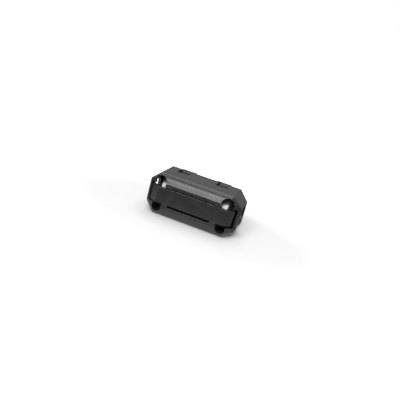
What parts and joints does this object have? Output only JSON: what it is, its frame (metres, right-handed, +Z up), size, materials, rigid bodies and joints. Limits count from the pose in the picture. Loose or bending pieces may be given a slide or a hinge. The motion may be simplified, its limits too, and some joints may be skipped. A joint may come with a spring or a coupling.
{
  "type": "clip-on ferrite bead",
  "caption": "Clip-on ferrite bead: a hinged black plastic case with tapered ends and snap latches holds ferrite half-cores round a cable to damp interference.",
  "frame": {"origin": "centre of the cable bore, on the plane where the two halves part", "axes": "+X along the cable, +Y towards the latch side, +Z up"},
  "size_m": [0.025, 0.012, 0.0114],
  "materials": {
    "case_nylon": "satin moulded black nylon",
    "ferrite": "smooth dark grey sintered ferrite"
  },
  "bodies": {
    "lower_half": {"lower_shell": "case_nylon", "lower_core": "ferrite"},
    "strip": {"hinge_spine": "case_nylon"},
    "upper_half": {"upper_shell": "case_nylon", "upper_core": "ferrite"}
  },
  "joints": [
    {"name": "strip_hinge", "type": "hinge", "parent": "lower_half", "child": "strip", "pos_m": [0, -0.0059, -0.00241], "axis": [1, 0, 0], "range_deg": [0, 90]},
    {"name": "lid_hinge", "type": "hinge", "parent": "strip", "child": "upper_half", "pos_m": [0, -0.0059, 0.00241], "axis": [1, 0, 0], "range_deg": [0, 90]}
  ]
}
